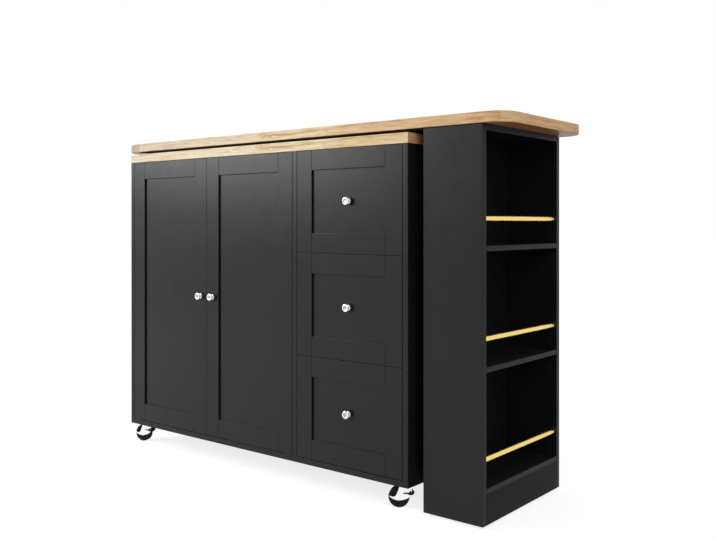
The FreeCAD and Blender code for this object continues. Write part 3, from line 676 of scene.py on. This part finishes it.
def round_outline(x0, x1, y0, y1, corner, steps):
    """A rectangle seen from above with round corners, from the right back one, anticlockwise."""
    outline = []
    for cx, cy, start in ((x1 - corner, y1 - corner, 0), (x0 + corner, y1 - corner, 90),
                          (x0 + corner, y0 + corner, 180), (x1 - corner, y0 + corner, 270)):
        for step in range(steps + 1):
            angle = math.radians(start + 90 * step / steps)
            outline.append((cx + corner * math.cos(angle), cy + corner * math.sin(angle)))
    return outline


def rim_distance(point, x0, x1, y0, y1, corner):
    """How far round the outline, from the front's left end, the place nearest the point lies."""
    wide, deep, arc = x1 - x0 - 2 * corner, y1 - y0 - 2 * corner, corner * math.pi / 2
    core_x = min(max(point.x, x0 + corner), x1 - corner)
    core_y = min(max(point.y, y0 + corner), y1 - corner)
    turned = round(math.degrees(math.atan2(point.y - core_y, point.x - core_x)) + 90, 2) % 360
    side = int(turned // 90)
    before = (0, wide + arc, wide + deep + 2 * arc, 2 * wide + deep + 3 * arc)[side]
    straight = (core_x - x0 - corner, core_y - y0 - corner,
                x1 - corner - core_x, y1 - corner - core_y)[side]
    return before + straight + arc * (turned % 90) / 90


def lay_grain(bm, x0, x1, y0, y1, z0, corner):
    """Map the grain in metres: along and across the staves, and round the rim as one strip."""
    layer = bm.loops.layers.uv.new("grain")
    whole = 2 * (x1 - x0 + y1 - y0 - 4 * corner) + 2 * math.pi * corner
    bmesh.ops.recalc_face_normals(bm, faces=bm.faces)
    for face in bm.faces:
        middle = rim_distance(face.calc_center_median(), x0, x1, y0, y1, corner)
        for loop in face.loops:
            point = loop.vert.co
            if abs(face.normal.z) > 0.75:
                shift = UNDER_SHIFT if face.normal.z < 0 else 0.0
                loop[layer].uv = (point.x * MM, point.y * MM + shift)
                continue
            distance = rim_distance(point, x0, x1, y0, y1, corner)
            if abs(distance - middle) > whole / 2:
                distance += whole if distance < middle else -whole
            loop[layer].uv = (distance * MM, RIM_SHIFT + (point.z - z0) * MM)


def wooden_slab(name, body, mat, x0, x1, y0, y1, z0, z1, corner, steps, rim, replaces):
    """A slab with round corners seen from above and softly rounded rims."""
    bm = bmesh.new()
    add_raised(bm, round_outline(x0, x1, y0, y1, corner, steps), z0, z1, rim, 3)
    lay_grain(bm, x0, x1, y0, y1, z0, corner)
    return piece(name, bm, body, mat, replaces)


wooden_slab("table_slab", "table", TABLE_WOOD, *TABLE_SPAN, *TABLE_DEPTH, *TABLE_LEVELS,
            TABLE_CORNER, 24, 2.2, ["table_top"])
wooden_slab("worktop_slab", "cabinet", WORKTOP_WOOD, *CABINET_SPAN, *CABINET_DEPTH, *WORKTOP_LEVELS,
            1.4, 3, 1.2, ["worktop"])


# Black strips under the table's long edges, and between the table and the shelf tower's sides,
# which stand in for the shade in these narrow gaps: painted shade

SHADE_STRIP_LOW = TABLE_LEVELS[0] - 2.5
SHADE_STRIP_PLACES = ((8.0, 1066.0, 24.5, 52.0), (8.0, 1066.0, 373.5, 52.0),
               (1074.0, 1228.0, 24.5, 12.0), (1074.0, 1228.0, 383.5, 12.0))
boards("painted_shade_strips", "table", SHADE_STRIP_BLACK,
       [((x0, y, SHADE_STRIP_LOW), (x1, y + width, TABLE_LEVELS[0])) for x0, x1, y, width in SHADE_STRIP_PLACES],
       0.5, ())


# Swivel bearing under the table

SWIVEL_RACE = [(28, -0.05), (40, -0.05), (40, 3.6), (39, 4.9), (37, 5.6), (34, 5.7), (31, 5.6),
               (29, 4.9), (28, 3.6)]
SWIVEL_SCREW_REACHES = (62, 48)
BASE_FACE = WORKTOP_LEVELS[1] + SWIVEL_PLATE
TOP_FACE = TABLE_LEVELS[0] - SWIVEL_PLATE


def square_plate(bm, cx, cy, half, z0, z1, corner):
    """A square plate with round corners and softly rounded rims."""
    outline = round_outline(cx - half, cx + half, cy - half, cy + half, corner, 6)
    add_raised(bm, outline, z0, z1, 0.4, 2)


base, top = bmesh.new(), bmesh.new()
square_plate(base, SWIVEL_X, SWIVEL_Y, SWIVEL_HALF, WORKTOP_LEVELS[1], BASE_FACE, 8)
square_plate(top, SWIVEL_X, SWIVEL_Y, SWIVEL_HALF, TOP_FACE, TABLE_LEVELS[0], 8)
add_lathe(base, SWIVEL_RACE, Matrix.Translation((SWIVEL_X, SWIVEL_Y, BASE_FACE)), 72)
for dx in (-1, 1):
    for dy in (-1, 1):
        for reach in SWIVEL_SCREW_REACHES:
            x, across = SWIVEL_X + dx * reach, sum(SWIVEL_SCREW_REACHES) - reach
            pan_screw(base, (x, SWIVEL_Y + dy * reach, BASE_FACE), (0, 0, 1), 3.6, 1.5)
            pan_screw(top, (x, SWIVEL_Y + dy * across, TOP_FACE), (0, 0, -1), 3.6, 1.5)
piece("swivel_base", base, "cabinet", ZINC, ["swivel_base_plate"])
piece("swivel_top", top, "table", ZINC, ["swivel_top_plate"])


# Shelf tower

SIDE_HIGH = TABLE_LEVELS[0] - 2.3      # leaves a gap under the table, which a black strip fills as painted shade
CASTER_BOARD_LOW = 60.0

(x0, x1), high = TOWER_SPAN, TABLE_LEVELS[0]
# The front and back boards give their faces towards +X the shaded copy of the lacquer: painted
# shade.
for side, y0 in (("front", TOWER_DEPTH[0]), ("back", TOWER_FAR)):
    shade_plus_x_faces(boards("tower_" + side, "table", LACQUER,
                      [((x0, y0, TOWER_LOW), (x1, y0 + BOARD, SIDE_HIGH))], 1.0,
                      ["tower_" + side + "_panel"]))
boards("tower_insides", "table", LACQUER,
       [((x0, TOWER_NEAR, TOWER_LOW), (TOWER_LEFT, TOWER_FAR, high)),
        ((TOWER_LEFT, TOWER_NEAR, CASTER_BOARD_LOW),
         (TOWER_RIGHT, TOWER_FAR, CASTER_BOARD_LOW + BOARD))], 0.5,
       ["tower_inner_panel", "tower_caster_board"])
# The top board's face towards +X takes the shaded copy of the lacquer: painted shade.
shade_plus_x_faces(boards("tower_top", "table", LACQUER,
                  [((TOWER_LEFT, TOWER_NEAR, high - BOARD), (x1, TOWER_FAR, high))], 0.5,
                  ["tower_top_panel"]))
# The shelf boards take the shaded copy of the lacquer all over: painted shade.
boards("tower_shelf_boards", "table", SHADED_LACQUER_COPY,
       [((TOWER_LEFT, TOWER_NEAR, z), (x1, TOWER_FAR, z + TOWER_SHELF))
        for z in TOWER_SHELF_LEVELS], 0.8, ["tower_shelves"])
# The foot takes the dullest shaded copy of the lacquer: painted shade.
boards("tower_foot", "table", SHADED_FOOT_LACQUER,
       [((TOWER_RIGHT, TOWER_NEAR, TOWER_LOW), (x1, TOWER_FAR, TOWER_SHELF_LEVELS[0]))], 0.8,
       ["tower_plinth"])
bm = bmesh.new()
rod_length = TOWER_FAR - TOWER_NEAR
for z in ROD_LEVELS:
    line = [(0, 0), (ROD_RADIUS, 0), (ROD_RADIUS, rod_length), (0, rod_length)]
    add_lathe(bm, line, Matrix.Translation((ROD_X, TOWER_NEAR, z)) @ turn("X", -90), 48)
piece("brass_rods", bm, "table", BRASS, ["tower_rods"])


# Casters, drawn about the swivel axis with the wheel trailing towards -X

# The fork's side plate in wheel radii about the axle: up to the cap's right end, and down from its
# left end
FORK_OUTLINE = [(-0.30, 0.13), (-0.40, 0.075), (-0.58, 0.07), (-0.71, 0.09), (-0.82, 0.135),
                (-0.87, 0.09), (-0.79, 0.0), (-0.64, -0.09), (-0.49, -0.16), (-0.20, -0.24),
                (0.10, -0.26), (0.47, -0.18), (0.80, -0.055), (1.06, 0.09), (1.18, 0.24),
                (1.23, 0.42), (1.25, 0.62), (1.32, 0.92)]
FORK_LEFT = [(0.10, 1.07), (0.0, 0.72), (-0.12, 0.42), (-0.19, 0.27)]
PLATE_SCREW_REACH = 19.0
PLATE_RACE = [(0, 58.05), (15, 58.05), (15, 57.0), (14.2, 55.8), (12.5, 55.1), (0, RACE_LOW)]
AXLE_RIVET = [(0, -0.1), (4.0, -0.1), (4.0, 0.4), (3.2, 1.0), (1.6, 1.3), (0, 1.4)]
AXLE_RADIUS, AXLE_HALF = 3.0, 13.0
PEDAL_PIN_RADIUS, PEDAL_PIN_HALF = 1.5, 13.9
TYRE_HALF = [(17.5, 9.6), (19.5, 10.4), (21.8, 10.2), (23.6, 9.2), (24.7, 7.6), (25.0, 5.6),
             (25.0, 4.0), (24.5, 3.6), (24.5, 3.0), (25.0, 2.6)]
HUB_HALF = [(3.1, 11.0), (6.2, 11.0), (7.0, 10.2), (7.2, 7.5), (15.5, 7.5), (16.2, 9.8),
            (17.6, 9.8)]
HUB_RIBS, HUB_RIB = 6, ((6.5, -0.9, -9.3), (16.0, 0.9, 9.3))
LEVER_LINE = [(2.7, 38.6), (4.2, 40.2), (7.0, 40.4), (9.6, 39.6), (12.0, 38.6), (14.0, 37.0),
              (14.8, 34.6), (14.4, 32.4), (12.6, 31.4), (10.0, 31.0), (7.6, 30.8), (5.8, 30.6)]
LEVER_SHOE = [(4.9, 32.0), (4.2, 33.8), (3.0, 36.4)]
LEVER_HALF = 7.5
LEVER_RIBS, LEVER_RIB_HALF = (-5.0, -2.5, 0.0, 2.5, 5.0), 0.6
LEVER_RIB_SPAN, LEVER_RIB_LEVELS = (12.4, 15.2), (33.4, 35.6)
LEVER_ARM = [(-8.6, 37.4), (-9.6, 36.4), (-8.6, 35.3), (2.9, 35.0), (3.4, 33.4), (6.8, 32.6)]
NEAR_CHEEK = [(9.4, 32.8), (10.5, 34.6), (10.6, 37.4), (9.6, 40.4), (8.2, 43.2), (7.2, 43.2),
              (6.2, 41.0), (3.6, 38.6)]
FAR_CHEEK = [(8.6, 33.4), (8.9, 35.6), (7.4, 37.4), (3.6, 38.0)]
CHEEK_INSIDE, CHEEK_OUTSIDE = 13.75, 15.1
AXLE = Matrix.Translation((-TRAIL, 0, WHEEL)) @ turn("X", 90)


def about_axle(points):
    """Points about the axle in wheel radii, as millimetres about the swivel axis."""
    return [(x * WHEEL - TRAIL, z * WHEEL + WHEEL) for x, z in points]


def both_halves(half):
    """A turned profile from its upper half."""
    return half + [(radius, -height) for radius, height in reversed(half)]


def move(bm, matrix):
    """Move a whole mesh."""
    bmesh.ops.transform(bm, matrix=matrix, verts=bm.verts)
    return bm


def merge(bm, made, matrix):
    """Move a mesh and add it to another."""
    move(made, matrix)
    holder = bpy.data.meshes.new("holder")
    made.to_mesh(holder)
    made.free()
    bm.from_mesh(holder)
    bpy.data.meshes.remove(holder)


def caster_plate(bm, matrix):
    """Mounting plate with rounded corners, four screws and the round race below."""
    made = bmesh.new()
    square_plate(made, 0, 0, PLATE_HALF, *PLATE_LEVELS, 5)
    for dx in (-1, 1):
        for dy in (-1, 1):
            pan_screw(made, (dx * PLATE_SCREW_REACH, dy * PLATE_SCREW_REACH, PLATE_LEVELS[0]),
                      (0, 0, -1), 3.0, 1.5)
    add_lathe(made, PLATE_RACE, Matrix.Identity(4), 48)
    merge(bm, made, matrix)


def add_pin(bm, radius, half, x, z, segments):
    """A round pin across the fork."""
    line = [(0, -half), (radius, -half), (radius, half), (0, half)]
    add_lathe(bm, line, Matrix.Translation((x, 0, z)) @ turn("X", 90), segments)


def caster_fork(matrix, braked):
    """Pressed fork: cap, side plates, the axle with its riveted ends and the lever's cross pin."""
    made = bmesh.new()
    side = (about_axle(smooth_line(FORK_OUTLINE, 3)) + [(CAP_HALF, CAP_HIGH), (-CAP_HALF, CAP_HIGH)]
            + about_axle(smooth_line(FORK_LEFT, 3)))
    for y0, y1 in ((-FORK_OUTSIDE, -FORK_INSIDE), (FORK_INSIDE, FORK_OUTSIDE)):
        add_prism(made, side, y0, y1, 0.5)
    add_box(made, (-CAP_HALF, -FORK_OUTSIDE, CAP_LOW), (CAP_HALF, FORK_OUTSIDE, CAP_HIGH), 0.8)
    for outward in (-1, 1):
        place = Matrix.Translation((-TRAIL, outward * FORK_OUTSIDE, WHEEL))
        add_lathe(made, AXLE_RIVET, place @ turn("X", -90 * outward), 24)
    add_pin(made, AXLE_RADIUS, AXLE_HALF, -TRAIL, WHEEL, 24)
    if braked:
        add_pin(made, PEDAL_PIN_RADIUS, PEDAL_PIN_HALF, PEDAL_PIN_X, PEDAL_PIN_Z, 16)
    return move(made, matrix)


def caster_wheel(matrix):
    """The tyre with rounded shoulders and two shallow grooves, about its hub."""
    bm = bmesh.new()
    add_lathe(bm, both_halves(TYRE_HALF), matrix @ AXLE, 72)
    return bm


def caster_hub(matrix):
    """Moulded hub: a boss, a dished web with ribs, and a rim under the tyre."""
    bm = bmesh.new()
    add_lathe(bm, both_halves(HUB_HALF), matrix @ AXLE, 48)
    for index in range(HUB_RIBS):
        rib = bmesh.new()
        add_box(rib, *HUB_RIB, 0.4)
        merge(bm, rib, matrix @ AXLE @ turn("Z", 360 * index / HUB_RIBS))
    return bm


def brake_pedal(matrix):
    """Moulded lever: an eye on the cross pin, a shoe facing the tyre, a ribbed foot tongue, and a
    cheek with a thin arm outside each side of the fork."""
    made = bmesh.new()
    add_prism(made, smooth_line(LEVER_LINE, 3) + LEVER_SHOE, -LEVER_HALF, LEVER_HALF, 0.9)
    (x0, x1), (z0, z1) = LEVER_RIB_SPAN, LEVER_RIB_LEVELS
    for y in LEVER_RIBS:
        add_box(made, (x0, y - LEVER_RIB_HALF, z0), (x1, y + LEVER_RIB_HALF, z1), 0.4)
    add_prism(made, LEVER_ARM + NEAR_CHEEK, -CHEEK_OUTSIDE, -CHEEK_INSIDE, 0.35)
    add_prism(made, LEVER_ARM + FAR_CHEEK, CHEEK_INSIDE, CHEEK_OUTSIDE, 0.35)
    return move(made, matrix)


# Each caster's name, swivel axis, angle at rest and the body that carries it
CASTERS = (("front_left", 33, 46, 198, "cabinet"), ("front_right", 1012, 46, 207, "cabinet"),
           ("back_left", 33, 384, 180, "cabinet"), ("back_right", 1012, 384, 180, "cabinet"),
           ("tower_front", 1151, 101.5, 180, "table"), ("tower_back", 1151, 318.5, 180, "table"))
plates = {"cabinet": bmesh.new(), "table": bmesh.new()}
for name, x, y, angle, owner in CASTERS:
    caster_plate(plates[owner], Matrix.Translation((x, y, 0)))
    matrix = Matrix.Translation((x, y, 0)) @ turn("Z", angle - 180)
    braked = name.startswith("front")
    piece(name + "_pressed_fork", caster_fork(matrix, braked), name + "_fork", CHROME,
          [name + "_fork"])
    piece(name + "_tyre", caster_wheel(matrix), name + "_wheel", RUBBER,
          [name + "_wheel"])
    piece(name + "_hub", caster_hub(matrix), name + "_wheel", PLASTIC)
    if braked:
        piece(name + "_lever", brake_pedal(matrix), name + "_pedal", PLASTIC,
              [name + "_brake_pedal"])
for place, owner in (("cabinet", "cabinet"), ("tower", "table")):
    piece(place + "_mounting_plates", plates[owner], owner, ZINC,
          [place + "_caster_plates"])


# Every CAD node that stays gets its slot's material

SLOT_OF = {row["node"]: row["material_slot"] for row in frame["record"]["subparts"]}
for name, ob in frame["nodes"].items():
    ob.data.materials.clear()
    ob.data.materials.append(SLOT_MATERIALS[SLOT_OF[name]])


# Floor, light and camera

FLOOR_COLOUR, FLOOR_GLOW = 0.36, 0.80
WORLD_LIGHT, WORLD_SEEN = 0.62, 1.0


def seen_rays(tree):
    """One for camera, glossy and transmitted rays, which see the white, and nought for the rest."""
    rays = node(tree, "LightPath").outputs
    mirrored = maths(tree, "MAXIMUM", rays["Is Glossy Ray"], rays["Is Transmission Ray"])
    return maths(tree, "MAXIMUM", rays["Is Camera Ray"], mirrored)


def stage_material():
    """A pale floor that shows as white to the rays that see it, with its shadow."""
    mat = bpy.data.materials.new("pale_floor")
    mat.use_nodes = True
    tree = mat.node_tree
    tree.nodes.clear()
    diffuse = node(tree, "BsdfDiffuse", {"Color": (FLOOR_COLOUR, FLOOR_COLOUR, FLOOR_COLOUR, 1.0)})
    strength = maths(tree, "MULTIPLY", seen_rays(tree), FLOOR_GLOW)
    glow = node(tree, "Emission", {"Color": (1.0, 1.0, 1.0, 1.0), "Strength": strength})
    total = node(tree, "AddShader", {0: diffuse.outputs[0], 1: glow.outputs[0]})
    output = node(tree, "OutputMaterial")
    tree.links.new(total.outputs[0], output.inputs[0])
    return mat


bpy.ops.mesh.primitive_plane_add(size=60.0, location=(0, 0, 0))
floor = bpy.context.object
floor.name = "floor"
floor.data.materials.append(stage_material())

world = bpy.data.worlds.new("studio")
bpy.context.scene.world = world
world.use_nodes = True
tree = world.node_tree
tree.nodes.clear()
level = node(tree, "MapRange", {0: seen_rays(tree), 1: 0.0, 2: 1.0,
                                3: WORLD_LIGHT, 4: WORLD_SEEN}).outputs[0]
background = node(tree, "Background", {"Color": (1.0, 1.0, 1.0, 1.0), "Strength": level})
output = node(tree, "OutputWorld")
tree.links.new(background.outputs[0], output.inputs[0])


def area_light(name, place, aim, size, radiance):
    """A square soft box at a place, facing the aim, with a given brightness of its face."""
    data = bpy.data.lights.new(name, "AREA")
    data.shape = "SQUARE"
    data.size = size
    data.energy = radiance * math.pi * size * size
    lamp = bpy.data.objects.new(name, data)
    bpy.context.scene.collection.objects.link(lamp)
    lamp.location = place
    lamp.rotation_euler = (Vector(aim) - Vector(place)).to_track_quat("-Z", "Y").to_euler()


area_light("key", (-2.7, -2.6, 1.9), (-0.3, 0.0, 0.6), 1.8, 9.4)
area_light("fill", (2.6, -1.6, 2.4), (0.4, 0.0, 0.5), 1.6, 2.2)

# A level camera, fitted to the photograph's edges
camera_data = bpy.data.cameras.new("camera")
camera_data.lens = 42.74
camera_data.sensor_width = 36.0
camera_data.shift_y = -0.0642
camera = bpy.data.objects.new("camera", camera_data)
bpy.context.scene.collection.objects.link(camera)
camera.location = (1.5756, -1.8005, 0.670)
camera.rotation_euler = (math.radians(90), 0, math.radians(39))
bpy.context.scene.camera = camera
bpy.context.scene.view_settings.view_transform = "Standard"
